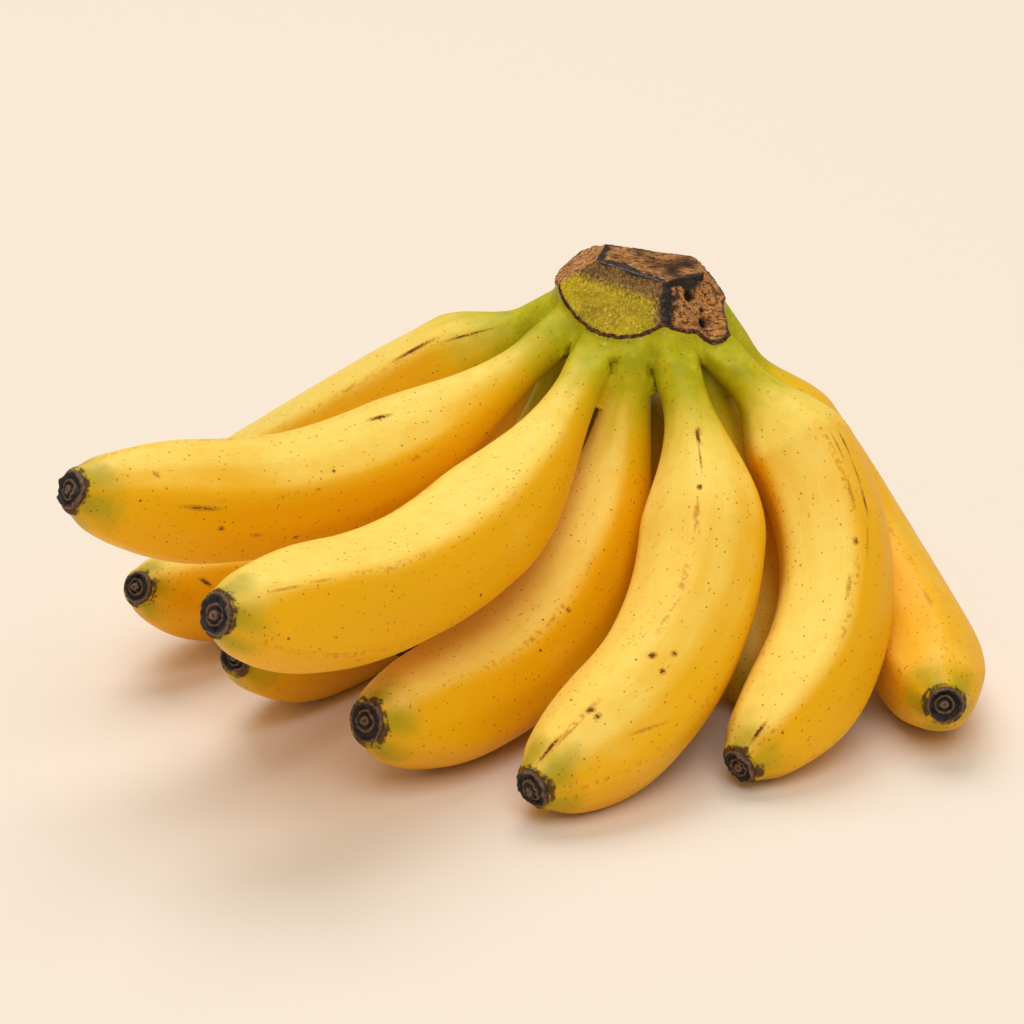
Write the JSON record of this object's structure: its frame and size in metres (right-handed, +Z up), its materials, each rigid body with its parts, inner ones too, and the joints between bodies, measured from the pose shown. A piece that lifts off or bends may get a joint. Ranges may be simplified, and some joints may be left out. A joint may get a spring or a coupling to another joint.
{
  "type": "bunch of bananas",
  "caption": "Bunch of ripe bananas joined at a knife-cut crown, lying on its curved fingers with the crown up and green necks fading into yellow ridged peel.",
  "frame": {"origin": "centre of the bounding box seen from above, on the surface that the bunch rests on", "axes": "+Z up, through the crown end; -Y towards the front, where the fingers point; +X to the right as seen from the front, along the widest extent"},
  "size_m": [0.2478, 0.2232, 0.1166],
  "materials": {
    "crown_skin": "green skin at the necks, brown fibrous cut faces with charred-looking edges",
    "peel": "satin waxy peel with fine brown freckles",
    "peel_inner": "satin waxy peel with fine brown freckles"
  },
  "bodies": {
    "root": {"crown": "crown_skin", "finger_outer_1": "peel", "finger_outer_2": "peel", "finger_outer_3": "peel", "finger_outer_4": "peel", "finger_outer_5": "peel", "finger_outer_6": "peel", "finger_outer_7": "peel", "finger_inner_1": "peel_inner", "finger_inner_2": "peel_inner", "finger_inner_3": "peel_inner", "finger_inner_4": "peel_inner", "finger_inner_5": "peel_inner"}
  },
  "joints": []
}
